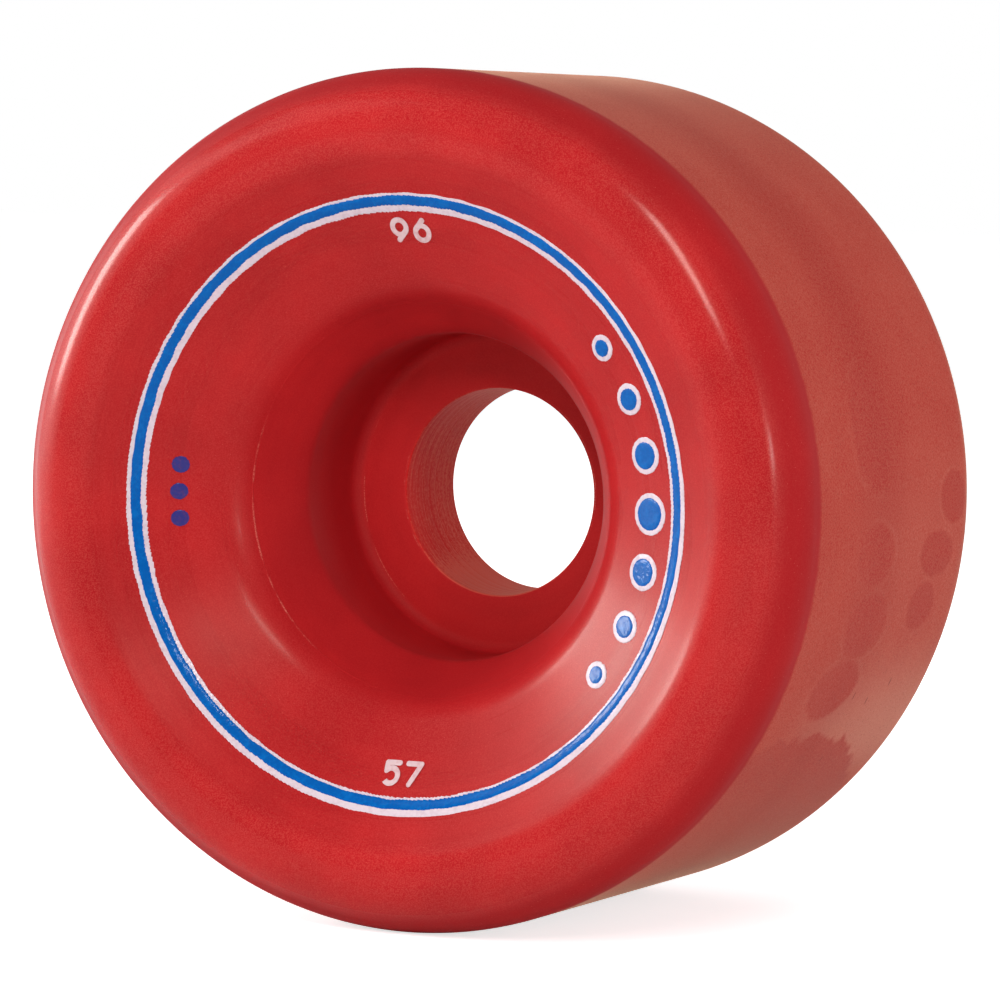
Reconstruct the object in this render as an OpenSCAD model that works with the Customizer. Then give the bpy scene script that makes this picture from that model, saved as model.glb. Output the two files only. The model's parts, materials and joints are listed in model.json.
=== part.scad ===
// Roller skate wheel: a one-piece urethane casting with a turned tread, two bearing seats and a printed face.
// Every solid is drawn about local Z with the printed face towards +Z, and is then turned so that the wheel
// spins about Y and its printed face looks along -Y. The origin is the middle of the wheel.

/* [Wheel] */
// Diameter over the tread
wheel_d = 57; // [54:0.5:62]
// Width over the crests of the two lips
wheel_w = 34.3; // [33.5:0.1:38]
// Radius of the rolled lip between the tread and the face
lip_r = 4; // [3.3:0.1:4.8]

/* [Printed face] */
// Slope of the conical land that carries the print
land_slope = 26.5; // [24:0.5:29]
// Distance from the axis at which the land turns down into the bowl
shoulder_at = 13.75; // [13.2:0.05:14.6]
// Radius of that turn
shoulder_r = 3.7; // [2:0.1:4.5]
// Depth of the front bearing seat's mouth below the crest of the lip
front_inset = 9.8; // [9:0.1:10.6]

/* [Hub] */
// Outside diameter of the ball bearing that each seat takes
bearing_d = 22; // [19:0.5:23]
// Width of that bearing, which is the depth of a seat
bearing_w = 7; // [6:0.25:7.5]
// How much smaller than the bearing a seat is, on the diameter
seat_grip = 0.06; // [0.02:0.02:0.12]
// Thickness of the web between the two seats
web_t = 7.4; // [6.5:0.1:8.5]
// Diameter of the hole through the web
bore_d = 14.1; // [10:0.1:16]
// Radius of the edge at each seat's mouth
mouth_r = 0.5; // [0.3:0.1:0.8]
// Chamfer on both ends of the hole through the web
bore_chamfer = 0.15; // [0.1:0.05:0.4]

/* [Printed line] */
// Distance of the middle of the line from the axis
ring_r = 19.85; // [19.2:0.05:20.5]
// Width of the blue line
blue_w = 0.7; // [0.4:0.05:0.9]
// White margin that shows on each side of the blue
white_edge = 0.32; // [0.16:0.02:0.4]
// Thickness of the white ink
white_t = 0.06; // [0.04:0.01:0.1]
// Thickness of the blue ink, which lies on the white
blue_t = 0.05; // [0.03:0.01:0.08]

/* [Dots] */
// Number of dots in the row on the right of the land
dot_count = 7; // [3:2:7]
// Angle between neighbouring dots
dot_step = 12.5; // [11.5:0.5:14]
// Diameter of the middle dot
dot_max_d = 2.1; // [1.8:0.1:2.4]
// Diameter of the two end dots
dot_min_d = 1.1; // [0.8:0.1:1.4]
// Gap between the white edge of the line and the white edge of the middle dot
dot_gap = 0.5; // [0.2:0.05:0.6]
// Number of small dark dots on the left of the land
side_count = 3; // [2:1:4]
// Angle between neighbouring dark dots
side_step = 6; // [5:0.5:8]
// Diameter of each dark dot
side_d = 1.1; // [0.8:0.1:1.3]
// Gap between the white edge of the line and the dark dots
side_gap = 1.45; // [1:0.05:1.8]

/* [Numbers] */
// Height of a figure
figure_h = 1.65; // [1.4:0.05:1.8]
// Width of a figure
figure_w = 1.3; // [1.1:0.05:1.4]
// Width of the line that a figure is drawn with
stroke_w = 0.34; // [0.26:0.02:0.38]
// Space between two figures
figure_gap = 0.3; // [0.2:0.05:0.4]
// Gap between the white edge of the line and the foot of a figure
number_gap = 0.55; // [0.3:0.05:0.8]

/* [Hidden] */
$fn = 96;
size_figures = [5, 7];
hardness_figures = [9, 6];

urethane_red = [0.72, 0.10, 0.12];
ink_white = [0.90, 0.87, 0.89];
ink_blue = [0.02, 0.40, 0.70];
ink_dark_blue = [0.16, 0.16, 0.42];

// Heights along the axis, from the middle of the wheel towards the printed face
tread_r = wheel_d / 2;
half_w = wheel_w / 2;
front_mouth = half_w - front_inset;
front_floor = front_mouth - bearing_w;
rear_floor = front_floor - web_t;
rear_mouth = rear_floor - bearing_w;

// Radii of a lip's crest and of the two holes
crest_at = tread_r - lip_r;
seat_r = (bearing_d - seat_grip) / 2;
bore_r = bore_d / 2;

// Slope of the rear face, a straight line from the rear mouth that touches the lip's radius
rear_run = crest_at - seat_r;
rear_drop = half_w - lip_r + rear_mouth;
rear_slope = atan2(rear_drop, rear_run) + asin(lip_r / norm([rear_run, rear_drop]));

// Half the width of the blank that the section is cut from, and how far a cut runs past what it opens
blank_half = half_w + lip_r;
past = 1;
// How far a rounding's circle stands proud of the sides that it touches, so that it crosses them cleanly
proud = 0.0005;

// Height at a radius of a face that has the given slope and runs up to touch the lip's radius
function face_z(r, slope) = half_w - lip_r + lip_r / cos(slope) + (r - crest_at) * tan(slope);
// Point at a radius on the line of such a face
function on_face(r, slope) = [r, face_z(r, slope)];
// Height of the land at a radius
function land_z(r) = face_z(r, land_slope);
// Point of the section at a radius, lifted off the land
function on_land(r, lift) = [r - lift * sin(land_slope), land_z(r) + lift * cos(land_slope)];

shoulder = [shoulder_at, land_z(shoulder_at)];
bowl_slope = atan2(shoulder[1] - front_mouth, shoulder_at - seat_r);

// Radii that the print takes up, as they show from the front
flat = cos(land_slope);
blue_half = blue_w / 2 * flat;
white_half = blue_half + white_edge * flat;
inside_line = ring_r - white_half;
dot_row_r = inside_line - dot_gap - white_edge - dot_max_d / 2;
side_row_r = inside_line - side_gap - side_d / 2;
number_r = inside_line - number_gap - figure_h / 2;
dot_middle = (dot_count - 1) / 2;
figure_x = (figure_w - stroke_w) / 2;
figure_y = (figure_h - stroke_w) / 2;

// Turns a solid from its local Z to the wheel's own axis
module on_axle() {
    rotate([90, 0, 0]) children();
}

// The sliver that a radius takes off a corner at p, with the casting between the angles u and v
module corner_cut(p, u, v, r) {
    half = (v - u) / 2;
    middle = (u + v) / 2;
    centre = p + r / sin(half) * [cos(middle), sin(middle)];
    reach = r / tan(half);
    over = 1.3;
    touch = [reach * [cos(u), sin(u)], [0, 0], reach * [cos(v), sin(v)]];
    difference() {
        polygon([centre, for (t = touch) centre + over * (p + t - centre)]);
        translate(centre) circle(r + proud);
    }
}

// Everything that is cut from one side of the blank, for a seat whose mouth and floor are at these heights. The face
// has the given slope, down to the points in turns, if any, and then another slope down to the mouth.
module face_cuts(slope, turns, mouth_slope, mouth, floor) {
    clear = blank_half + past;
    face_end = on_face(tread_r + past, slope);
    polygon([[0, clear], [face_end[0], clear], face_end, each turns, [seat_r, mouth], [seat_r, floor], [0, floor]]);
    corner_cut(on_face(tread_r, slope), 180 + slope, 270, lip_r);
    corner_cut([seat_r, mouth], 270, 360 + mouth_slope, mouth_r);
    translate([bore_r, floor]) rotate(45) square(bore_chamfer * sqrt(2), center = true);
}

// Half section of the casting, with the axis at x = 0
module body_section() {
    difference() {
        translate([bore_r, -blank_half]) square([tread_r - bore_r, 2 * blank_half]);
        face_cuts(land_slope, [shoulder], bowl_slope, front_mouth, front_floor);
        corner_cut(shoulder, 180 + bowl_slope, 360 + land_slope, shoulder_r);
        mirror([0, 1]) face_cuts(rear_slope, [], rear_slope, -rear_mouth, -rear_floor);
    }
}

// A conical skin over part of the land, between two radii and two lifts
module ink_band(r_in, r_out, low, high) {
    rotate_extrude()
        polygon([on_land(r_in, low), on_land(r_out, low), on_land(r_out, high), on_land(r_in, high)]);
}

// A flat drawing laid on the land as ink, between two lifts
module ink_drawing(low, high) {
    intersection() {
        ink_band(shoulder_at, ring_r, low, high);
        translate([0, 0, front_mouth]) linear_extrude(wheel_w) children();
    }
}

// The row of graded dots, each wider by a margin all round
module dot_row(margin) {
    for (i = [-dot_middle : dot_middle]) {
        d = dot_max_d - (dot_max_d - dot_min_d) * abs(i) / dot_middle;
        rotate(i * dot_step) translate([dot_row_r, 0]) circle(d / 2 + margin);
    }
}

// A straight stroke with round ends
module bar(p, q) {
    along = (q - p) / norm(q - p);
    side = stroke_w / 2 * [-along[1], along[0]];
    polygon([p + side, p - side, q - side, q + side]);
    for (end = [p, q])
        translate(end) circle(stroke_w / 2);
}

// A round stroke of the figure's full width about a centre, closed or from angle a to angle b
module bow(centre, a, b) {
    wide = 2 * figure_h;
    translate(centre) intersection() {
        difference() {
            circle(figure_x + stroke_w / 2);
            circle(figure_x - stroke_w / 2);
        }
        polygon([[0, 0], for (i = [0 : 6]) wide * [cos(a + (b - a) * i / 6), sin(a + (b - a) * i / 6)]]);
    }
}

module figure_five() {
    bowl = [0, figure_x - figure_y];
    corner = [-0.8 * figure_x, figure_y];
    join = 140;
    bar(corner, [figure_x, figure_y]);
    bar(corner, bowl + figure_x * [cos(join), sin(join)]);
    bow(bowl, -join, join);
}

module figure_seven() {
    bar([-figure_x, figure_y], [figure_x, figure_y]);
    bar([figure_x, figure_y], [-0.35 * figure_x, -figure_y]);
}

module figure_nine() {
    bowl = [0, figure_y - figure_x];
    join = -25;
    bow(bowl, 0, 180);
    bow(bowl, 180, 360);
    bar(bowl + figure_x * [cos(join), sin(join)], [-0.3 * figure_x, -figure_y]);
}

module figure(n) {
    if (n == 5) figure_five();
    if (n == 7) figure_seven();
    if (n == 9) figure_nine();
    if (n == 6) rotate(180) figure_nine();
}

// A number whose figures stand with their feet towards the printed line
module number_drawing(figures) {
    pitch = figure_w + figure_gap;
    for (i = [0 : len(figures) - 1])
        translate([(i - (len(figures) - 1) / 2) * pitch, -number_r]) figure(figures[i]);
}

module wheel_body() {
    color(urethane_red) on_axle() rotate_extrude() body_section();
}

module white_ring() {
    color(ink_white) on_axle() ink_band(ring_r - white_half, ring_r + white_half, 0, white_t);
}

module blue_ring() {
    color(ink_blue) on_axle() ink_band(ring_r - blue_half, ring_r + blue_half, white_t, white_t + blue_t);
}

module white_dots() {
    color(ink_white) on_axle() ink_drawing(0, white_t) dot_row(white_edge);
}

module blue_dots() {
    color(ink_blue) on_axle() ink_drawing(white_t, white_t + blue_t) dot_row(0);
}

module side_dots() {
    middle = (side_count - 1) / 2;
    color(ink_dark_blue) on_axle() ink_drawing(0, blue_t)
        for (i = [-middle : middle])
            rotate(180 + i * side_step) translate([side_row_r, 0]) circle(side_d / 2);
}

module size_number() {
    color(ink_white) on_axle() ink_drawing(0, white_t) number_drawing(size_figures);
}

module hardness_number() {
    color(ink_white) on_axle() ink_drawing(0, white_t) rotate(180) number_drawing(hardness_figures);
}

wheel_body();
white_ring();
blue_ring();
white_dots();
blue_dots();
side_dots();
size_number();
hardness_number();
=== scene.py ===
"""Looks of a cast urethane roller skate wheel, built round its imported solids.

The classes hold their sizes in millimetres, and MM turns them into Blender's metres. The wheel spins about Y
and its printed face looks along -Y. A point of the wheel's section is a distance from the axis and a height
towards the printed face.
"""

import json
import logging
import math
from collections.abc import Mapping, Sequence
from dataclasses import dataclass, field
from enum import Enum
from typing import Any, Union

import bpy
import numpy as np
from mathutils import Matrix, Vector
from numpy.typing import NDArray


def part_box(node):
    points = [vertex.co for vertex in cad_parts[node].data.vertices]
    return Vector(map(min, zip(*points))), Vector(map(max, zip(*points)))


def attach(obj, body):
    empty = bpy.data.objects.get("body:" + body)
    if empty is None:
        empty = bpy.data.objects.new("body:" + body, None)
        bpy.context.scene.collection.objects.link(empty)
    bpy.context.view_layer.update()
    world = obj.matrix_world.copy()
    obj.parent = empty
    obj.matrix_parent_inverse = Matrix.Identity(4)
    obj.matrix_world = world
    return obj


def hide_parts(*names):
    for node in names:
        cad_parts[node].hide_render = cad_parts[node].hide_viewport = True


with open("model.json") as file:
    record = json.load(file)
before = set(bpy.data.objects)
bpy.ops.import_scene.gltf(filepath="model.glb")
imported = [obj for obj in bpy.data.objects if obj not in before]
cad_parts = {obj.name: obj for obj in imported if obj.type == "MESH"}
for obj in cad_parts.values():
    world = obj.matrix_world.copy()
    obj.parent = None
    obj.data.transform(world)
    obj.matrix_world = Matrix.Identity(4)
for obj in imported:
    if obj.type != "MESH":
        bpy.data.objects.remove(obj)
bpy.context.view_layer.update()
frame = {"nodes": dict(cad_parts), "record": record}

MM = 0.001
TAU = 2.0 * math.pi
QUARTER = math.pi / 2.0
SAME_PLACE = 1e-6
BODY = "root"

Array = NDArray[np.float64]
Pair = tuple[float, float]
Triple = tuple[float, float, float]
Rgb = tuple[int, int, int]
Colour = tuple[float, float, float, float]
Value = Union[float, "Sock"]

log = logging.getLogger("skate_wheel")


def linear(rgb: Rgb) -> Colour:
    """Turns a screen colour into the linear colour that a shader takes.

    Args:
        rgb: Red, green and blue as a screen shows them, 0 to 255.

    Returns:
        The same colour in linear light, with an alpha of one.
    """
    share = np.array(rgb) / 255.0
    light = np.where(share <= 0.04045, share / 12.92, ((share + 0.055) / 1.055) ** 2.4)
    return (float(light[0]), float(light[1]), float(light[2]), 1.0)


class Sock:
    """A shader socket that turns Python arithmetic into Math nodes."""

    def __init__(self, graph: "ShaderGraph", socket: bpy.types.NodeSocket) -> None:
        """Keeps the socket and the graph that its Math nodes go into."""
        self.graph = graph
        self.socket = socket

    def __add__(self, other: Value) -> "Sock":
        """Adds two values."""
        return self.graph.math("ADD", self, other)

    def __radd__(self, other: Value) -> "Sock":
        """Adds this value to a number."""
        return self.graph.math("ADD", other, self)

    def __sub__(self, other: Value) -> "Sock":
        """Takes a value from this one."""
        return self.graph.math("SUBTRACT", self, other)

    def __rsub__(self, other: Value) -> "Sock":
        """Takes this value from a number."""
        return self.graph.math("SUBTRACT", other, self)

    def __mul__(self, other: Value) -> "Sock":
        """Multiplies two values."""
        return self.graph.math("MULTIPLY", self, other)

    def __rmul__(self, other: Value) -> "Sock":
        """Multiplies a number by this value."""
        return self.graph.math("MULTIPLY", other, self)

    def __truediv__(self, other: Value) -> "Sock":
        """Divides this value by another."""
        return self.graph.math("DIVIDE", self, other)

    def __pow__(self, other: Value) -> "Sock":
        """Raises this value to a power."""
        return self.graph.math("POWER", self, other)

    def __abs__(self) -> "Sock":
        """Gives the value without its sign."""
        return self.graph.math("ABSOLUTE", self)

    def step(self, low: float, high: float) -> "Sock":
        """Rises smoothly from 0 at low to 1 at high, or falls where low is the larger."""
        inputs = {"Value": self, "From Min": low, "From Max": high}
        made = self.graph.node("ShaderNodeMapRange", {"interpolation_type": "SMOOTHSTEP"}, inputs)
        return self.graph.out(made, "Result")

    def spread(self, low: float, high: float) -> "Sock":
        """Carries this value's range of 0 to 1 over to low to high."""
        return self * (high - low) + low

    def band(self, middle: float, half: float) -> "Sock":
        """Gives 1 at the middle, falling smoothly to 0 at half on each side of it."""
        return abs(self - middle).step(half, 0.0)


class ShaderGraph:
    """Builds the nodes of one material or world."""

    def __init__(self, owner: Union[bpy.types.Material, bpy.types.World]) -> None:
        """Starts an empty node tree on the material or world."""
        owner.use_nodes = True
        self.tree = owner.node_tree
        self.tree.nodes.clear()

    def node(
        self,
        kind: str,
        settings: Mapping[str, Any] | None = None,
        inputs: Mapping[Union[str, int], Any] | None = None,
    ) -> bpy.types.Node:
        """Adds a node, sets it up and fills its sockets.

        Args:
            kind: The node's type.
            settings: Its properties, which are set first.
            inputs: A value or a link for each socket, by the socket's name or number.

        Returns:
            The new node.
        """
        made = self.tree.nodes.new(kind)
        for key, value in (settings or {}).items():
            setattr(made, key, value)
        for key, value in (inputs or {}).items():
            if isinstance(value, Sock):
                self.tree.links.new(value.socket, made.inputs[key])
            else:
                made.inputs[key].default_value = value
        return made

    def out(self, node: bpy.types.Node, socket: Union[str, int] = 0) -> Sock:
        """Wraps one of a node's outputs."""
        return Sock(self, node.outputs[socket])

    def math(self, operation: str, *values: Value) -> Sock:
        """Adds a Math node for one operation on values."""
        return self.out(self.node("ShaderNodeMath", {"operation": operation}, dict(enumerate(values))))

    def vector(self, x: Value, y: Value, z: Value) -> Sock:
        """Joins three values into a vector."""
        return self.out(self.node("ShaderNodeCombineXYZ", None, {"X": x, "Y": y, "Z": z}))

    def split(self, vector: Sock) -> tuple[Sock, Sock, Sock]:
        """Takes a vector apart into its three values."""
        parts = self.node("ShaderNodeSeparateXYZ", None, {0: vector})
        return self.out(parts, 0), self.out(parts, 1), self.out(parts, 2)

    def spot(self) -> "Spot":
        """Reads where a point lies on its object, in millimetres."""
        place = self.out(self.node("ShaderNodeTexCoord"), "Object")
        inputs = {0: place, "Scale": 1.0 / MM}
        scaled = self.out(self.node("ShaderNodeVectorMath", {"operation": "SCALE"}, inputs))
        x, y, z = self.split(scaled)
        return Spot(scaled, (x * x + z * z) ** 0.5, y, self.math("ARCTAN2", z, x))

    def noise(self, place: Sock, scale: float, detail: float = 2.0, rough: float = 0.5) -> Sock:
        """Gives smooth noise about 0.5, with a scale in features for each millimetre."""
        inputs = {"Vector": place, "Scale": scale, "Detail": detail, "Roughness": rough}
        return self.out(self.node("ShaderNodeTexNoise", None, inputs))

    def cells(self, place: Sock, scale: float) -> Sock:
        """Gives the distance to the nearest of many scattered points."""
        inputs = {"Vector": place, "Scale": scale}
        return self.out(self.node("ShaderNodeTexVoronoi", None, inputs), "Distance")

    def blend(self, share: Value, first: Union[Colour, Sock], second: Union[Colour, Sock]) -> Sock:
        """Mixes two colours, from the first at a share of 0 to the second at 1."""
        made = self.node("ShaderNodeMix", {"data_type": "RGBA"}, {0: share, 6: first, 7: second})
        return self.out(made, 2)

    def bump(self, height: Sock, depth: float) -> Sock:
        """Turns a height of 0 to 1 into a normal, for a relief that is this many millimetres deep."""
        inputs = {"Height": height, "Distance": depth * MM, "Strength": 1.0}
        return self.out(self.node("ShaderNodeBump", None, inputs))

    def surface(self, inputs: Mapping[Union[str, int], Any]) -> Sock:
        """Adds a Principled shader with these sockets filled."""
        return self.out(self.node("ShaderNodeBsdfPrincipled", None, inputs))

    def layer(self, share: Value, under: Sock, over: Sock) -> Sock:
        """Mixes two shaders, from the first at a share of 0 to the second at 1."""
        return self.out(self.node("ShaderNodeMixShader", None, {0: share, 1: under, 2: over}))

    def seen_rays(self, mirrored: Value) -> Sock:
        """Gives 1 for rays from the camera, and this share for those that come by way of gloss or glass."""
        path = self.node("ShaderNodeLightPath")
        kinds = ("Camera", "Glossy", "Transmission")
        camera, gloss, glass = (self.out(path, f"Is {kind} Ray") for kind in kinds)
        return self.math("MAXIMUM", camera, self.math("MAXIMUM", gloss, glass) * mirrored)

    def end(self, kind: str, shader: Sock) -> None:
        """Joins the last shader to an output node of this type."""
        self.node(kind, None, {"Surface": shader})


@dataclass(frozen=True)
class Spot:
    """Where a point lies: its place, its distance from the axle, and where along and round the axle it is."""

    place: Sock
    radius: Sock
    along: Sock
    turn: Sock

    def past(self, angle: float) -> Sock:
        """Gives the turn past an angle or past the one opposite, whichever is within a quarter turn."""
        return self.turn.graph.math("WRAP", self.turn - angle, QUARTER, -QUARTER)

    def low_down(self, start: float) -> Sock:
        """Gives 1 at the bottom of the wheel and 0 where the sine of the turn is above this start."""
        return self.turn.graph.math("SINE", self.turn).step(start, -0.95)


def new_material(name: str) -> tuple[bpy.types.Material, ShaderGraph]:
    """Makes an empty material and the graph that fills it."""
    material = bpy.data.materials.new(name)
    return material, ShaderGraph(material)


@dataclass(frozen=True)
class Smudge:
    """An oval mark on the tread: its place round and along the wheel and half its size each way."""

    turn: float
    along: float
    half_arc: float
    half_along: float

    def reach(self, spot: Spot) -> Sock:
        """Gives 0 in the middle of the oval, or of its copy half a turn away, and 1 on the outline.

        It is the sum of the squares of a point's two distances from the middle, as shares of the half sizes.

        Args:
            spot: Where the point lies.

        Returns:
            The sum of the squares.
        """
        arc = spot.past(math.radians(self.turn)) * spot.radius / self.half_arc
        across = (spot.along - self.along) / self.half_along
        return arc * arc + across * across


@dataclass(frozen=True)
class Urethane:
    """The wheel's own red: satin where cast, dull where the tread is ground, lined where the hub is turned."""

    cast_deep: Rgb = (158, 18, 25)
    cast_light: Rgb = (192, 31, 35)
    speck: Rgb = (232, 140, 122)
    ground: Rgb = (168, 38, 30)
    ground_pale: Rgb = (176, 56, 44)
    smudge: Rgb = (158, 18, 14)
    # Dust and painted sheen share this pale colour.
    pale_dust_and_sheen: Rgb = (212, 150, 128)
    pit: Rgb = (96, 20, 16)
    turned: Rgb = (196, 32, 32)
    turned_pale: Rgb = (208, 88, 72)
    gloss_tint: Rgb = (255, 243, 222)
    sheen_tint: Rgb = (236, 204, 170)
    cast_grain: float = 10.5
    ground_grain: float = 8.0
    tread_edge: float = 12.3
    tread_from: float = 24.0
    rear_reach: float = 2.5
    bore_edge: float = 7.12
    crease_r: float = 13.15
    seat_edge: float = 10.9
    floor_line_r: float = 10.3
    lip_from: float = 22.4
    edge_from: float = 26.6
    # The turn at which the pale lines of wear and painted glints are strongest, and the one opposite.
    wear_and_glint_turn: float = math.radians(15.0)
    # Dust and painted sheen lie in a band about this turn.
    dust_and_sheen_turn: float = math.radians(-29.0)
    smudges: tuple[Smudge, ...] = (
        Smudge(-5.8, -2.2, 2.1, 3.2),
        Smudge(-15.4, -1.6, 2.2, 3.6),
        Smudge(-24.5, -3.4, 2.2, 3.9),
        Smudge(0.7, 11.4, 1.8, 2.4),
        Smudge(-6.9, 8.9, 1.6, 3.0),
        Smudge(-14.0, 7.8, 1.7, 2.4),
        Smudge(11.0, -2.6, 4.0, 3.4),
    )
    # A large smudge that is also painted shade: darker red with a ragged edge.
    patch: Smudge = Smudge(-52.0, -5.0, 10.2, 19.0)

    def material(self) -> bpy.types.Material:
        """Mixes the three finishes over the wheel.

        The ground finish covers points that are far from the axle and between the tread's two edges, of which
        the rear one lies further out. The turned finish covers points that are no further from the axle than
        the wall of the hole through the web.

        Returns:
            The new material.
        """
        material, graph = new_material("red_urethane")
        spot = graph.spot()
        ragged = graph.noise(spot.place, 0.9, 4.0, 0.65) - 0.5
        across = abs(spot.along - self.rear_reach / 2.0) - self.rear_reach / 2.0
        on_tread = (across + 0.5 * ragged).step(self.tread_edge + 0.3, self.tread_edge - 0.4)
        on_tread = on_tread * spot.radius.step(self.tread_from, self.tread_from + 1.0)
        in_bore = spot.radius.step(self.bore_edge + 0.04, self.bore_edge)
        outside = graph.layer(on_tread, self.cast_face(graph, spot), self.ground_face(graph, spot))
        graph.end("ShaderNodeOutputMaterial", graph.layer(in_bore, outside, self.turned_face(graph, spot)))
        return material

    def cast_face(self, graph: ShaderGraph, spot: Spot) -> Sock:
        """Makes the satin cast finish.

        Clouds and long drifts round the axle vary the red and the gloss, under a fine pale grain and specks
        that fade in the bowl. The lips are a little lighter than the land. Painted light makes the bowl a
        little lighter and the seat's floor lighter still, and painted shade darkens the seat's corner, except
        below, and the lips' edges. The bowl and the lips' edges are duller. On two sides, fine broken pale
        lines on the bowl's crease, the seat's floor and the hole's edge are wear and painted glints.

        Args:
            graph: The material's graph.
            spot: Where a point lies.

        Returns:
            The finish's shader.
        """
        sway = graph.noise(spot.place, 0.05, 1.0) * 6.0
        drift = graph.noise(graph.vector(spot.radius * 1.3, spot.along * 1.3, sway), 0.6, 3.0, 0.55)
        cloud = graph.noise(spot.place, 0.16, 2.0)
        grain = graph.noise(spot.place, self.cast_grain, 2.0, 0.7)
        dull = spot.radius.step(self.crease_r + 1.4, self.crease_r - 0.4)
        lip = spot.radius.step(self.lip_from - 0.3, self.lip_from + 0.8)
        edge = spot.radius.step(self.edge_from, self.edge_from + 1.2)
        # Painted light: the seat's floor is made lighter.
        seat = spot.radius.step(self.seat_edge - 0.2, self.seat_edge - 0.9)
        # Painted shade: the seat's corner is darkened, less so at the bottom of the wheel.
        corner = spot.radius.band(self.seat_edge, 0.75) * (1.0 - spot.low_down(-0.3) * 0.8)
        tone = (cloud - 0.5) * 0.7 + (drift - 0.5) * 0.35 + (grain - 0.5) * 0.45 + 0.38
        # Painted light and shade in the tone: bowl and seat's floor lighter, seat's corner and lips' edges
        # darker.
        tone = tone + lip * 0.06 + dull * 0.04 + seat * 0.36 - corner * 0.28 - edge * 0.3
        red = graph.blend(tone.step(0.0, 1.0), linear(self.cast_deep), linear(self.cast_light))
        pale = grain.step(0.38, 0.66) * (0.06 + lip * 0.04 - edge * 0.07 - dull * 0.04)
        specks = graph.cells(spot.place, 2.6).step(0.11, 0.05) * (0.22 - dull * 0.14)
        # Painted glints and wear: broken pale lines on two sides, on the crease, the floor line and the hole's
        # edge.
        sides = graph.math("COSINE", (spot.turn - self.wear_and_glint_turn) * 2.0).step(-0.1, 0.8)
        broken = graph.noise(spot.place, 0.45, 4.0, 0.7).step(0.42, 0.62) * sides * grain.step(0.35, 0.6)
        lines = spot.radius.band(self.crease_r, 0.06) + spot.radius.band(self.floor_line_r, 0.05)
        worn = (lines + spot.radius.band(self.bore_edge + 0.1, 0.06)) * broken * 0.5
        pale = graph.math("MAXIMUM", pale, graph.math("MAXIMUM", specks, worn))
        return graph.surface({
            "Base Color": graph.blend(pale, red, linear(self.speck)),
            "Roughness": drift.step(0.3, 0.7).spread(0.26, 0.31) - lip * 0.11 + dull * 0.28 + edge * 0.5,
            "Specular IOR Level": 0.13,
            "Specular Tint": linear(self.gloss_tint),
            "Coat Weight": 0.15 + lip * 0.4 - dull * 0.15 - edge * 0.55,
            "Coat Roughness": 0.12,
            "Coat IOR": 1.15,
            "Normal": graph.bump(grain * 0.3 + drift * 0.7, 0.005),
        })

    def ground_face(self, graph: ShaderGraph, spot: Spot) -> Sock:
        """Makes the dull ground finish of the tread.

        Faint grinding lines run round the wheel over blotches and a fine grain. The middle of the tread and
        the oval smudges are redder, and the ovals have a thin pale outline. One large area with a ragged edge
        is redder too, a smudge and painted shade. Dust and painted sheen make a soft pale band beside it that
        thickens towards the rear, with a fainter haze beside it. A few long pits lie in that band, and small
        ones all over.

        Args:
            graph: The material's graph.
            spot: Where a point lies.

        Returns:
            The finish's shader.
        """
        sway = graph.noise(spot.place, 0.08, 1.0) * 5.0
        lines = graph.noise(graph.vector(spot.radius * 0.2, spot.along * 5.0, sway), 0.5, 3.0, 0.6)
        blotch = graph.noise(spot.place, 0.22, 3.0, 0.55)
        grain = graph.noise(spot.place, self.ground_grain, 2.0, 0.7)
        tone = (lines - 0.5) * 0.4 + (blotch - 0.5) * 1.2 + (grain - 0.5) * 0.8 + 0.5
        red = graph.blend(tone.step(0.0, 1.0), linear(self.ground), linear(self.ground_pale))
        past = spot.past(self.dust_and_sheen_turn)
        # Dust and painted sheen: a pale band about its turn, thickening towards the rear.
        dust_and_sheen = past.step(0.22, -0.06) * past.step(-0.3, -0.1) * spot.along.step(-15.0, 12.0)
        ragged = (graph.noise(spot.place, 0.4, 4.0, 0.6) - 0.5) * 0.6
        reach = self.smudges[0].reach(spot)
        for smudge in self.smudges[1:]:
            reach = graph.math("MINIMUM", reach, smudge.reach(spot))
        # Smudge and painted shade: the large darker area with a ragged edge.
        patch = (self.patch.reach(spot) + ragged).step(1.07, 0.95)
        inside = graph.math("MAXIMUM", (reach + ragged).step(1.15, 0.75), patch)
        shade = graph.math("MAXIMUM", inside * 0.55, spot.along.band(-1.5, 6.5) * 0.75)
        haze = past.step(0.75, 0.45) * past.step(-0.35, 0.0) * spot.along.step(-9.0, 0.0) * (1.0 - inside)
        outline = (reach + ragged).band(1.25, 0.25) * graph.noise(spot.place, 0.25).step(0.4, 0.65)
        pale_dust_and_sheen = dust_and_sheen * (1.0 - inside) * 0.4 + haze * 0.06 + outline * 0.05 + grain.step(0.34, 0.66) * 0.17
        red = graph.blend(pale_dust_and_sheen, graph.blend(shade, red, linear(self.smudge)), linear(self.pale_dust_and_sheen))
        inputs = {"Vector": spot.place, "Scale": (0.25, 1.1, 0.25)}
        squeezed = graph.out(graph.node("ShaderNodeMapping", None, inputs))
        pits = graph.cells(squeezed, 1.0).step(0.1, 0.06) * dust_and_sheen.step(0.2, 0.5)
        pits = graph.math("MAXIMUM", pits, graph.cells(spot.place, 3.0).step(0.2, 0.1) * 0.5)
        return graph.surface({
            "Base Color": graph.blend(pits * 0.8, red, linear(self.pit)),
            "Roughness": 0.62 - inside * 0.05,
            "Specular IOR Level": 0.05,
            "Sheen Weight": 0.38,
            "Sheen Roughness": 0.26,
            "Sheen Tint": linear(self.sheen_tint),
            "Normal": graph.bump(lines * 0.5 + grain * 0.5, 0.008),
        })

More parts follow.
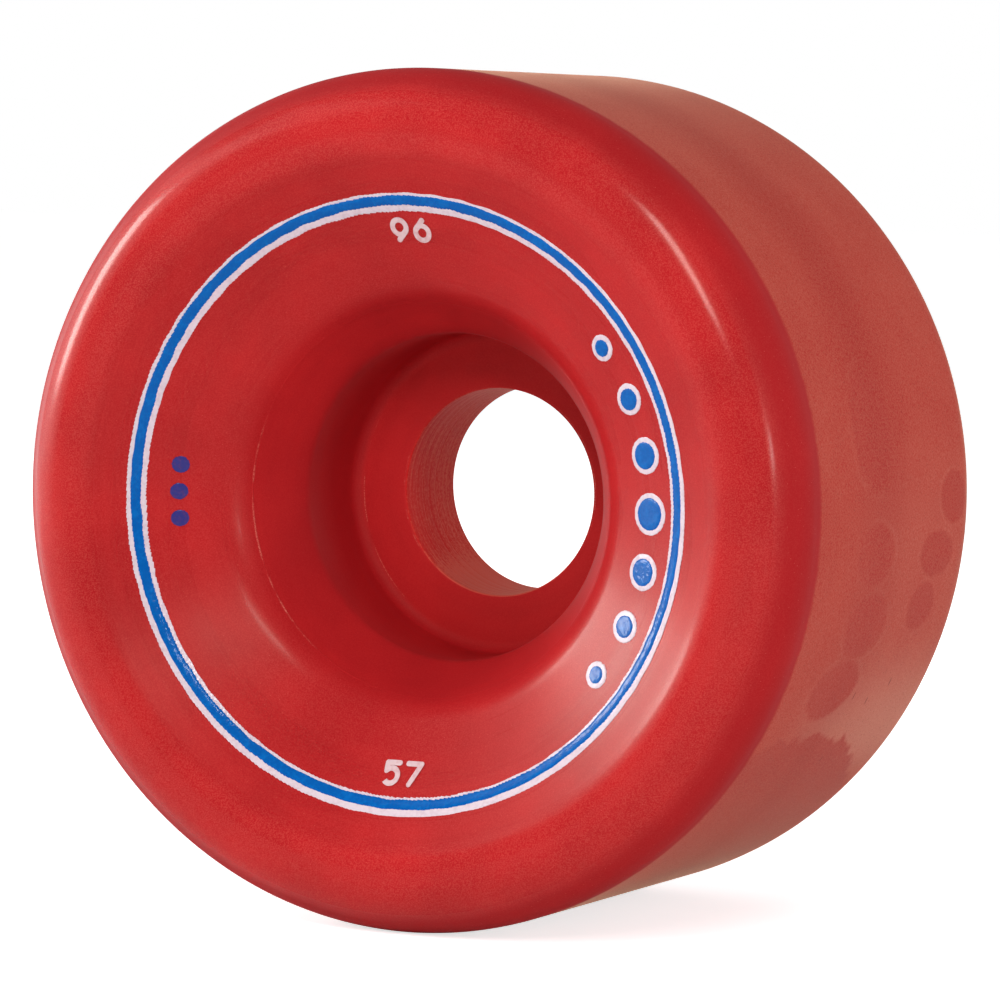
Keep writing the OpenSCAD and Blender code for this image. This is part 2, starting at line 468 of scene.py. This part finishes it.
    def turned_face(self, graph: ShaderGraph, spot: Spot) -> Sock:
        """Makes the turned finish of the hole's wall: fine tool lines, and painted sheen to the rear and
        below.

        Args:
            graph: The material's graph.
            spot: Where a point lies.

        Returns:
            The finish's shader.
        """
        sway = graph.noise(spot.place, 0.1, 1.0) * 3.0
        lines = graph.noise(graph.vector(0.0, spot.along * 9.0, sway), 0.6, 3.0, 0.6)
        mottle = graph.noise(spot.place, 5.0, 2.0, 0.7)
        low = spot.low_down(-0.55)
        # Painted sheen: the tone grows paler towards the rear and at the bottom of the wheel.
        tone = (lines * 0.5 + mottle * 0.5 + spot.along * 0.012 + low * 0.22).step(0.45, 0.69)
        return graph.surface({
            "Base Color": graph.blend(tone, linear(self.turned), linear(self.turned_pale)),
            "Roughness": 0.6,
            "Specular IOR Level": 0.06,
            "Sheen Weight": 0.3,
            "Sheen Roughness": 0.28,
            "Sheen Tint": linear(self.sheen_tint),
            "Normal": graph.bump(lines * 0.6 + mottle * 0.4, 0.03),
        })


@dataclass(frozen=True)
class Ink:
    """A satin printing ink with the grain of the screen it came through."""

    name: str
    base: Rgb
    worn: Rgb
    gloss: float = 0.15

    def material(self) -> bpy.types.Material:
        """Mottles the ink's colour and gloss at the pitch of a printing screen."""
        material, graph = new_material(self.name)
        place = graph.spot().place
        screen = graph.cells(place, 4.0)
        mottle = graph.noise(place, 1.4, 3.0, 0.6)
        wear = (mottle * 0.7 + screen * 0.3).step(0.42, 0.75)
        shader = graph.surface({
            "Base Color": graph.blend(wear, linear(self.base), linear(self.worn)),
            "Roughness": self.gloss + (mottle - 0.5) * 0.2,
            "Specular IOR Level": 0.12,
            "Normal": graph.bump(screen * 0.6 + mottle * 0.4, 0.02),
        })
        graph.end("ShaderNodeOutputMaterial", shader)
        return material


class InkKind(Enum):
    """The inks of the printed face, by their material slot in the record."""

    WHITE = "white_ink"
    BLUE = "blue_ink"
    DARK_BLUE = "dark_blue_ink"


INKS = {
    InkKind.WHITE: Ink("white_ink", (214, 198, 206), (202, 182, 191)),
    InkKind.BLUE: Ink("blue_ink", (0, 86, 164), (2, 100, 178)),
    InkKind.DARK_BLUE: Ink("dark_blue_ink", (52, 50, 120), (84, 50, 104)),
}
FIGURE_INK = Ink("thin_white_ink", (212, 184, 186), (200, 156, 158))


def mesh_object(name: str, grid: Array, poles: bool = False) -> bpy.types.Object:
    """Makes a closed mesh from a grid of points.

    Each cell of the grid becomes a four-sided face. The first direction always closes on itself. The second
    closes on itself too, or runs between two poles, where its first and last columns close on the middle of
    each column. All faces are turned round if the signed volume, a sum of triple products of their corners,
    is negative.

    Args:
        name: The object's name.
        grid: Points in metres, in rows round the piece and columns across it.
        poles: Whether the columns end in poles.

    Returns:
        The new object, in the scene.
    """
    rows, columns = grid.shape[:2]
    number = np.arange(rows * columns).reshape(rows, columns)
    across = number[:, :-1] if poles else number
    beside = number[:, 1:] if poles else np.roll(number, -1, 1)
    quads = np.stack([across, np.roll(across, -1, 0), np.roll(beside, -1, 0), beside], -1).reshape(-1, 4)
    points = grid.reshape(-1, 3)
    faces = quads.tolist()
    a, b, c, d = (points[quads[:, i]] for i in range(4))
    turned = np.sum(a * (np.cross(b, c) + np.cross(c, d))) < 0.0
    if poles:
        points = np.vstack([points, grid[:, 0].mean(0), grid[:, -1].mean(0)])
        first = np.stack([np.full(rows, rows * columns), np.roll(number[:, 0], -1), number[:, 0]], -1)
        last = np.stack([np.full(rows, rows * columns + 1), number[:, -1], np.roll(number[:, -1], -1)], -1)
        faces += first.tolist() + last.tolist()
    if turned:
        faces = [face[::-1] for face in faces]
    mesh = bpy.data.meshes.new(name)
    mesh.from_pydata(points.tolist(), [], faces)
    mesh.shade_smooth()
    mesh.update()
    made = bpy.data.objects.new(name, mesh)
    bpy.context.scene.collection.objects.link(made)
    return made


def add_piece(made: bpy.types.Object, node: str, material: bpy.types.Material) -> None:
    """Dresses a new piece, hides the solid that it stands for and lets it ride with the wheel.

    Args:
        made: The new piece.
        node: The solid that it stands for.
        material: Its material.
    """
    made.data.materials.append(material)
    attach(made, BODY)
    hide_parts(node)
    log.info("%s: %d faces, stands for %s", made.name, len(made.data.polygons), node)


@dataclass(frozen=True)
class Corner:
    """A sharp corner of the wheel's section, the radius that rounds it and how finely it is sampled."""

    radius_at: float
    height: float
    rounding: float
    on_arc: int
    on_run: int


def rounded_section(corners: Sequence[Corner]) -> tuple[Array, Array]:
    """Rounds the corners of a closed section and samples it.

    Where two sides meet at an angle g, a rounding R touches them at R / tan(g / 2) from the corner, and its
    centre lies R / sin(g / 2) from the corner on the line that halves g. The run to the next corner is
    straight.

    Args:
        corners: The corners, in the order that keeps the casting on the right.

    Returns:
        The points as rows of distance from the axis and height, and the outward direction at each.
    """
    sharp = np.array([(c.radius_at, c.height) for c in corners])
    rounding = np.array([c.rounding for c in corners])[:, None]
    back = np.roll(sharp, 1, 0) - sharp
    ahead = np.roll(sharp, -1, 0) - sharp
    back /= np.linalg.norm(back, axis=1, keepdims=True)
    ahead /= np.linalg.norm(ahead, axis=1, keepdims=True)
    half = np.arccos(np.clip(np.sum(back * ahead, 1, keepdims=True), -1.0, 1.0)) / 2.0
    halving = back + ahead
    halving /= np.linalg.norm(halving, axis=1, keepdims=True)
    centre = sharp + halving * rounding / np.sin(half)
    enters = sharp + back * rounding / np.tan(half)
    leaves = sharp + ahead * rounding / np.tan(half)
    start = np.arctan2(enters[:, 1] - centre[:, 1], enters[:, 0] - centre[:, 0])
    stop = np.arctan2(leaves[:, 1] - centre[:, 1], leaves[:, 0] - centre[:, 0])
    sweep = (stop - start + math.pi) % TAU - math.pi
    parts = []
    for i, corner in enumerate(corners):
        turn = start[i] + sweep[i] * np.linspace(0.0, 1.0, corner.on_arc)
        parts.append(centre[i] + corner.rounding * np.stack([np.cos(turn), np.sin(turn)], 1))
        share = np.linspace(0.0, 1.0, corner.on_run + 2)[1:-1, None]
        parts.append(leaves[i] + share * (enters[(i + 1) % len(corners)] - leaves[i]))
    points = np.vstack(parts)
    points = points[np.linalg.norm(np.roll(points, -1, 0) - points, axis=1) > SAME_PLACE]
    along = np.roll(points, -1, 0) - np.roll(points, 1, 0)
    along /= np.linalg.norm(along, axis=1, keepdims=True)
    return points, np.stack([-along[:, 1], along[:, 0]], 1)


def ridge(start: Pair, stop: Pair, at: float, half: float, rise: float) -> list[Corner]:
    """Draws a fine raised line on a straight run of the section, as a low triangle with rounded corners.

    Args:
        start: The run's first end.
        stop: Its other end.
        at: The ridge's place, as a share of the run.
        half: Half the ridge's width.
        rise: Its height.

    Returns:
        The ridge's three corners.
    """
    first, last = np.array(start), np.array(stop)
    along = (last - first) / np.linalg.norm(last - first)
    middle = first + at * (last - first)
    peak = middle + rise * np.array([-along[1], along[0]])
    corners = (middle - half * along, peak, middle + half * along)
    return [Corner(float(p[0]), float(p[1]), half / 4.0, 3, 0) for p in corners]


@dataclass(frozen=True)
class Land:
    """The cone of the printed face that carries the ink."""

    rim_r: float
    rim_height: float
    slope: float

    def height(self, radius: Array) -> Array:
        """Gives the cone's height, which falls from its rim by the distance times the slope's tangent."""
        return self.rim_height - (self.rim_r - radius) * math.tan(self.slope)

    def lay(self, x: Array, z: Array, lift: Array) -> Array:
        """Lays a flat drawing on the cone.

        A drawn point goes to the cone's height at its own distance from the axis, and is then lifted square
        to the cone: inwards by the sine of the slope and outwards by its cosine.

        Args:
            x: Places across the face, in millimetres.
            z: Places up the face.
            lift: Lift off the cone.

        Returns:
            The points in metres.
        """
        radius = np.hypot(x, z)
        shrink = 1.0 - lift * math.sin(self.slope) / radius
        height = self.height(radius) + lift * math.cos(self.slope)
        return np.stack([x * shrink, -height, z * shrink], -1) * MM


@dataclass
class WheelCasting:
    """The one-piece urethane wheel, with the marks that casting, grinding and turning leave on it."""

    wheel_r: float
    half_w: float
    seat_r: float
    bore_r: float
    lip_r: float = 4.0
    land_slope: float = math.radians(26.5)
    shoulder_at: float = 13.75
    shoulder_r: float = 3.7
    front_inset: float = 9.8
    seat_depth: float = 7.0
    web_t: float = 7.4
    mouth_r: float = 1.4
    seat_fillet: float = 0.8
    bore_edge: float = 0.15
    crease_at: float = 0.785
    crease_half: float = 0.05
    crease_rise: float = 0.012
    slow_sway: float = 0.008
    quick_sway: float = 0.005
    tread_calm: float = 0.3
    turns: int = 400
    tool_lines: int = 10
    seed: int = 57

    @classmethod
    def from_frame(cls) -> "WheelCasting":
        """Takes the wheel's main sizes from its solid and from the record's mounts."""
        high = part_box("wheel_body")[1]
        radii = {m["name"]: m["dims"]["r_mm"] for m in frame["record"]["mounts"]}
        return cls(high.x / MM, high.y / MM, radii["bearing_seat_front"], radii["web_bore"])

    def rim(self, slope: float) -> float:
        """Gives the radius of the sharp corner between the crest's height and a face of this slope."""
        return self.wheel_r - self.lip_r - self.lip_r * math.tan(slope / 2.0)

    def land(self) -> Land:
        """Gives the cone that carries the print."""
        return Land(self.rim(self.land_slope), self.half_w, self.land_slope)

    def rear_slope(self) -> float:
        """Gives the slope of the straight rear face, from the rear mouth to the lip that it touches."""
        run = self.wheel_r - self.lip_r - self.seat_r
        drop = self.half_w - self.lip_r + self.heights()[3]
        return math.atan2(drop, run) + math.asin(self.lip_r / math.hypot(run, drop))

    def heights(self) -> tuple[float, float, float, float]:
        """Gives the heights of the front mouth, the front floor, the rear floor and the rear mouth."""
        mouth = self.half_w - self.front_inset
        floor = mouth - self.seat_depth
        return mouth, floor, floor - self.web_t, floor - self.web_t - self.seat_depth

    def section(self) -> tuple[Array, Array]:
        """Draws the wheel's section from the bore, over the printed face, down the tread and back."""
        mouth, floor, rear_floor, rear_mouth = self.heights()
        shoulder = (self.shoulder_at, float(self.land().height(np.float64(self.shoulder_at))))
        return rounded_section([
            Corner(self.bore_r, rear_floor, self.bore_edge, 4, 58),
            Corner(self.bore_r, floor, self.bore_edge, 4, 12),
            Corner(self.seat_r, floor, self.seat_fillet, 9, 6),
            Corner(self.seat_r, mouth, self.mouth_r, 9, 4),
            *ridge((self.seat_r, mouth), shoulder, self.crease_at, self.crease_half, self.crease_rise),
            Corner(*shoulder, self.shoulder_r, 12, 22),
            Corner(self.rim(self.land_slope), self.half_w, self.lip_r, 9, 0),
            Corner(self.wheel_r, self.half_w, self.lip_r, 20, 18),
            Corner(self.wheel_r, -self.half_w, self.lip_r, 14, 0),
            Corner(self.rim(self.rear_slope()), -self.half_w, self.lip_r, 6, 14),
            Corner(self.seat_r, rear_mouth, self.mouth_r, 5, 6),
            Corner(self.seat_r, rear_floor, self.seat_fillet, 4, 6),
        ])

    def relief(self, turn: Array, points: Array) -> Array:
        """Works out how far each point stands off its true place, in millimetres.

        The cast faces sway by a few waves round the wheel that change over the section, and less on the
        tread. The wall of the hole has tool lines, each a bell-shaped groove that wanders along the axle once
        a turn.

        Args:
            turn: Angles round the axle, as a column.
            points: The section's points.

        Returns:
            The offset at each angle and point, outwards.
        """
        draw = np.random.default_rng(self.seed)
        radius, height = points[:, 0], points[:, 1]
        cast = np.clip((radius - self.seat_r - 1.0) / 1.5, 0.0, 1.0)
        cast = cast * np.where(radius > self.wheel_r - 0.3, self.tread_calm, 1.0)
        sway = self.slow_sway * np.sin(3 * turn + 0.5 * height + 0.9) * np.sin(0.8 * radius)
        quick = np.sin(8 * turn + 0.7 * radius + 2.0) * np.sin(0.5 * radius + 0.4 * height)
        sway = sway + self.quick_sway * quick
        _, floor, rear_floor, _ = self.heights()
        lines = np.zeros_like(sway)
        for middle in np.linspace(rear_floor + 0.3, floor - 0.3, self.tool_lines):
            middle += draw.uniform(-0.3, 0.3)
            depth, width = draw.uniform(0.006, 0.03), draw.uniform(0.07, 0.14)
            phase = draw.uniform(0.0, TAU)
            off = height - middle - 0.05 * np.sin(turn + phase)
            lines -= depth * np.exp(-((off / width) ** 2))
        return sway * cast + lines * (radius < self.bore_r + 0.01)

    def build(self) -> None:
        """Carries the section round the axle, each angle a direction for its distances and heights."""
        points, outward = self.section()
        turn = np.linspace(0.0, TAU, self.turns, endpoint=False)[:, None]
        offset = self.relief(turn, points)
        radius = points[:, 0] + outward[:, 0] * offset
        height = points[:, 1] + outward[:, 1] * offset
        grid = np.stack([radius * np.cos(turn), -height, radius * np.sin(turn)], -1) * MM
        add_piece(mesh_object("wheel_casting", grid), "wheel_body", Urethane().material())


@dataclass
class PrintedFace:
    """The ink on the wheel's face: a line of blue on white, dots and figures."""

    land: Land
    ring_r: float = 19.85
    blue_w: float = 0.7
    white_edge: float = 0.32
    white_t: float = 0.06
    blue_t: float = 0.05
    white_slip: Pair = (0.03, -0.13)
    sunk: float = 0.012
    tooth: float = 0.33
    inner_teeth: float = 0.10
    outer_teeth: float = 0.07
    dot_teeth: float = 0.05
    samples: int = 2400
    dot_samples: int = 72
    dot_step: float = math.radians(12.5)
    dot_count: int = 7
    dot_max_d: float = 2.1
    dot_min_d: float = 1.1
    dot_gap: float = 0.5
    side_count: int = 3
    side_step: float = math.radians(6.0)
    side_d: float = 1.1
    side_gap: float = 1.45
    seed: int = 96
    materials: dict[InkKind, bpy.types.Material] = field(init=False)
    draw: np.random.Generator = field(init=False)
    blue_half: float = field(init=False)
    white_half: float = field(init=False)

    def __post_init__(self) -> None:
        """Makes the inks, starts the random draws and works out the lines' half widths across the axle."""
        self.materials = {kind: ink.material() for kind, ink in INKS.items()}
        self.draw = np.random.default_rng(self.seed)
        flat = math.cos(self.land.slope)
        self.blue_half = self.blue_w / 2.0 * flat
        self.white_half = self.blue_half + self.white_edge * flat

    def wander(self, turn: Array, waves: int, low: int, high: int) -> Array:
        """Gives a smooth random curve round a circle, a sum of sine waves of random count and phase.

        Args:
            turn: Angles round the circle.
            waves: How many waves are added.
            low: The smallest count of a wave round the circle.
            high: One more than the largest.

        Returns:
            The curve at each angle, about -1 to 1.
        """
        count = self.draw.integers(low, high, waves)
        phase = self.draw.uniform(0.0, TAU, waves)
        return np.sin(turn[:, None] * count + phase).sum(1) / math.sqrt(waves)

    def ragged(self, turn: Array, radius: float, reach: float) -> Array:
        """Gives the ragged edge that a printing screen leaves.

        Teeth one screen pitch apart rise in a saw's slope. Their height and place wander round the circle.

        Args:
            turn: Angles round the edge.
            radius: Radius of the edge.
            reach: Height of the largest teeth.

        Returns:
            The offset of the edge at each angle.
        """
        count = round(TAU * radius / self.tooth)
        saw = (turn * count / TAU + 0.6 * self.wander(turn, 5, 3, 40)) % 1.0
        height = np.clip(0.45 + 0.35 * self.wander(turn, 4, 1, 9), 0.08, 1.0)
        return reach * height * (saw - 0.5) + 0.25 * reach * self.wander(turn, 6, 20, 90)

    def pad(self, low: float, high: float) -> tuple[Array, Array]:
        """Draws the section of a line of ink: flat below, steep at the sides and slightly domed above.

        Args:
            low: Lift of its underside.
            high: Lift of its crown.

        Returns:
            The places across the line, 0 at one edge to 1 at the other, and their lifts.
        """
        top = np.array([1.0, 0.985, 0.94, 0.82, 0.62, 0.38, 0.18, 0.06, 0.015, 0.0])
        crown = 0.55 + 0.45 * (1.0 - np.abs(2.0 * top - 1.0) ** 3)
        lift = low + (high - low) * crown
        return np.concatenate([[0.0, 1.0], top]), np.concatenate([[low, low], lift])

    def ring(self, name: str, half: float, low: float, high: float, slip: Pair) -> bpy.types.Object:
        """Carries the line's section round the wheel between two ragged edges.

        The edges are circles about a centre that slipped aside, so each radius changes by the slip's share
        along it.

        Args:
            name: The piece's name.
            half: Half the line's width.
            low: Lift of its underside.
            high: Lift of its crown.
            slip: How far the print slipped across and up.

        Returns:
            The new piece.
        """
        turn = np.linspace(0.0, TAU, self.samples, endpoint=False)
        aside = slip[0] * np.cos(turn) + slip[1] * np.sin(turn)
        inner = self.ring_r - half + aside + self.ragged(turn, self.ring_r, self.inner_teeth)
        outer = self.ring_r + half + aside + self.ragged(turn, self.ring_r, self.outer_teeth)
        place, lift = self.pad(low, high)
        radius = inner[:, None] + (outer - inner)[:, None] * place
        x, z = radius * np.cos(turn)[:, None], radius * np.sin(turn)[:, None]
        return mesh_object(name, self.land.lay(x, z, np.broadcast_to(lift, x.shape)))

    def dots(self, name: str, spots: Sequence[Triple], low: float, high: float) -> bpy.types.Object:
        """Lays round spots of ink on the land and joins them into one piece.

        A spot is a section turned about its middle: out along its underside, up its edge and back over a
        dome.

        Args:
            name: The piece's name.
            spots: For each spot its angle round the wheel, its distance from the axis and its radius.
            low: Lift of the underside.
            high: Lift of the crown.

        Returns:
            The new piece.
        """
        turn = np.linspace(0.0, TAU, self.dot_samples, endpoint=False)
        share = np.array([0.3, 0.7, 1.0, 1.0, 0.985, 0.94, 0.82, 0.55, 0.25])
        crown = np.array([0.0, 0.0, 0.0, 0.5, 0.7, 0.85, 0.95, 1.0, 1.0])
        made = []
        for angle, distance, radius in spots:
            edge = radius + self.ragged(turn, radius, self.dot_teeth)
            reach = edge[:, None] * share
            x = distance * math.cos(angle) + reach * np.cos(turn)[:, None]
            z = distance * math.sin(angle) + reach * np.sin(turn)[:, None]
            lift = np.broadcast_to(low + (high - low) * crown, x.shape)
            made.append(mesh_object(name, self.land.lay(x, z, lift), poles=True))
        with bpy.context.temp_override(active_object=made[0], selected_editable_objects=made):
            bpy.ops.object.join()
        return made[0]

    def build(self) -> None:
        """Prints the line, the two rows of dots and the figures."""
        white, blue, dark = (self.materials[kind] for kind in InkKind)
        over = self.white_t + self.blue_t
        piece = self.ring("white_line", self.white_half, -self.sunk, self.white_t, self.white_slip)
        add_piece(piece, "white_ring", white)
        piece = self.ring("blue_line", self.blue_half, self.sunk, over, (0.0, 0.0))
        add_piece(piece, "blue_ring", blue)
        inside = self.ring_r - self.white_half
        middle = (self.dot_count - 1) / 2.0
        row = inside - self.dot_gap - self.white_edge - self.dot_max_d / 2.0
        spots = []
        for i in range(self.dot_count):
            shrink = (self.dot_max_d - self.dot_min_d) * abs(i - middle) / middle
            spots.append(((i - middle) * self.dot_step, row, (self.dot_max_d - shrink) / 2.0))
        wider = [(angle, distance, radius + self.white_edge) for angle, distance, radius in spots]
        piece = self.dots("white_spots", wider, -self.sunk, self.white_t)
        add_piece(piece, "white_dots", white)
        piece = self.dots("blue_spots", spots, self.sunk, over)
        add_piece(piece, "blue_dots", blue)
        side_r = inside - self.side_gap - self.side_d / 2.0
        side_middle = (self.side_count - 1) / 2.0
        turns = [math.pi + (i - side_middle) * self.side_step for i in range(self.side_count)]
        left = [(angle, side_r, self.side_d / 2.0) for angle in turns]
        piece = self.dots("side_spots", left, -self.sunk, self.blue_t)
        add_piece(piece, "side_dots", dark)
        figure_ink = FIGURE_INK.material()
        for node in ("size_number", "hardness_number"):
            frame["nodes"][node].data.materials.clear()
            frame["nodes"][node].data.materials.append(figure_ink)
            log.info("%s: printed in %s", node, FIGURE_INK.name)


@dataclass(frozen=True)
class Softbox:
    """A rectangular studio lamp that looks at the wheel."""

    name: str
    towards: Triple
    size: Pair
    power: float
    distance: float = 500.0

    def build(self) -> None:
        """Hangs the lamp in its direction from the wheel and turns it to look back."""
        data = bpy.data.lights.new(self.name, "AREA")
        data.shape = "RECTANGLE"
        data.size, data.size_y = (side * MM for side in self.size)
        data.energy = self.power
        lamp = bpy.data.objects.new(self.name, data)
        away = Vector(self.towards).normalized()
        lamp.location = away * self.distance * MM
        lamp.rotation_euler = (-away).to_track_quat("-Z", "Y").to_euler()
        bpy.context.scene.collection.objects.link(lamp)


@dataclass
class Studio:
    """The floor, the light and the camera."""

    floor_z: float
    floor_half: float = 3000.0
    floor_steps: int = 24
    floor_tone: float = 0.88
    fill: float = 0.36
    mirrored: float = 0.4
    azimuth: float = math.radians(25.613)
    elevation: float = math.radians(3.68)
    roll: float = math.radians(0.973)
    distance: float = 362.57
    focal_px: float = 5327.5
    centre_px: Pair = (1.366, -8.353)
    image_px: float = 1000.0
    sensor: float = 36.0
    sees_m: Pair = (0.01, 20.0)
    lamps: tuple[Softbox, ...] = (
        Softbox("key_left", (-0.92, -0.29, 0.26), (110.0, 170.0), 1.22),
        Softbox("left_broad", (-0.90, -0.32, 0.28), (380.0, 330.0), 0.6),
        Softbox("left_fill", (-0.93, -0.10, 0.05), (480.0, 320.0), 0.45),
        Softbox("front_strip", (0.29, -0.80, 0.52), (50.0, 190.0), 0.9),
        Softbox("top_fill", (-0.62, -0.50, 0.60), (240.0, 200.0), 0.17),
        Softbox("right_fill", (0.95, -0.16, 0.25), (110.0, 150.0), 0.34),
        Softbox("right_spot", (0.81, -0.54, 0.15), (40.0, 50.0), 0.45),
        Softbox("rear_right", (0.62, 0.76, 0.20), (200.0, 200.0), 0.22),
        Softbox("rear_left", (-0.80, 0.58, 0.15), (320.0, 240.0), 0.4),
    )

    def build_floor(self) -> None:
        """Spreads a flat pale floor under the tread: a grid of points at one height."""
        side = np.linspace(-self.floor_half, self.floor_half, self.floor_steps)
        x, y = np.meshgrid(side, side, indexing="ij")
        points = np.stack([x, y, np.full_like(x, self.floor_z)], -1).reshape(-1, 3) * MM
        number = np.arange(self.floor_steps**2).reshape(self.floor_steps, self.floor_steps)
        corners = [number[:-1, :-1], number[1:, :-1], number[1:, 1:], number[:-1, 1:]]
        mesh = bpy.data.meshes.new("floor")
        mesh.from_pydata(points.tolist(), [], np.stack(corners, -1).reshape(-1, 4).tolist())
        made = bpy.data.objects.new("floor", mesh)
        material, graph = new_material("pale_floor")
        tone = (self.floor_tone,) * 3 + (1.0,)
        paper = graph.surface({"Base Color": tone, "Roughness": 0.9, "Specular IOR Level": 0.1})
        lift = 1.0 - self.floor_tone * self.fill
        behind = graph.spot().along.step(-40.0, 80.0)
        glow = graph.node("ShaderNodeEmission", None, {"Strength": graph.seen_rays(behind) * lift})
        shade = graph.node("ShaderNodeAddShader", None, {0: paper, 1: graph.out(glow)})
        graph.end("ShaderNodeOutputMaterial", graph.out(shade))
        mesh.materials.append(material)
        bpy.context.scene.collection.objects.link(made)

    def build_light(self) -> None:
        """Hangs the lamps and makes a room that is white behind the wheel and gives an even, dimmer fill."""
        for lamp in self.lamps:
            lamp.build()
            log.info("lamp %s", lamp.name)
        world = bpy.data.worlds.new("white_room")
        bpy.context.scene.world = world
        graph = ShaderGraph(world)
        looks_back = graph.split(graph.out(graph.node("ShaderNodeTexCoord"), "Generated"))[1]
        seen = graph.seen_rays(looks_back.step(-0.1, 0.5) * self.mirrored)
        strength = seen * (1.0 - self.fill) + self.fill
        room = graph.node("ShaderNodeBackground", None, {"Color": (1.0, 1.0, 1.0, 1.0), "Strength": strength})
        graph.end("ShaderNodeOutputWorld", graph.out(room))

    def build_camera(self) -> None:
        """Sets the camera at the photograph's angle, distance and frame."""
        a, e = self.azimuth, self.elevation
        back = Vector((math.sin(a) * math.cos(e), -math.cos(a) * math.cos(e), math.sin(e)))
        level = Vector((math.cos(a), math.sin(a), 0.0))
        upright = back.cross(level)
        right = math.cos(self.roll) * level + math.sin(self.roll) * upright
        up = math.cos(self.roll) * upright - math.sin(self.roll) * level
        data = bpy.data.cameras.new("camera")
        data.sensor_width = self.sensor
        data.lens = data.sensor_width * self.focal_px / self.image_px
        data.shift_x = -self.centre_px[0] / self.image_px
        data.shift_y = self.centre_px[1] / self.image_px
        data.clip_start, data.clip_end = self.sees_m
        camera = bpy.data.objects.new("camera", data)
        turned = Matrix((right, up, back)).transposed().to_4x4()
        camera.matrix_world = Matrix.Translation(back * self.distance * MM) @ turned
        bpy.context.scene.collection.objects.link(camera)
        bpy.context.scene.camera = camera

    def build(self) -> None:
        """Sets up the floor, the light, the camera and the plain view of colours."""
        bpy.context.scene.view_settings.view_transform = "Standard"
        self.build_camera()
        self.build_floor()
        self.build_light()


def main() -> None:
    """Builds the wheel, its print and the studio, in that order."""
    logging.basicConfig(level=logging.INFO, format="%(message)s")
    casting = WheelCasting.from_frame()
    casting.build()
    PrintedFace(casting.land()).build()
    Studio(floor_z=-casting.wheel_r).build()


if __name__ == "__main__":
    main()
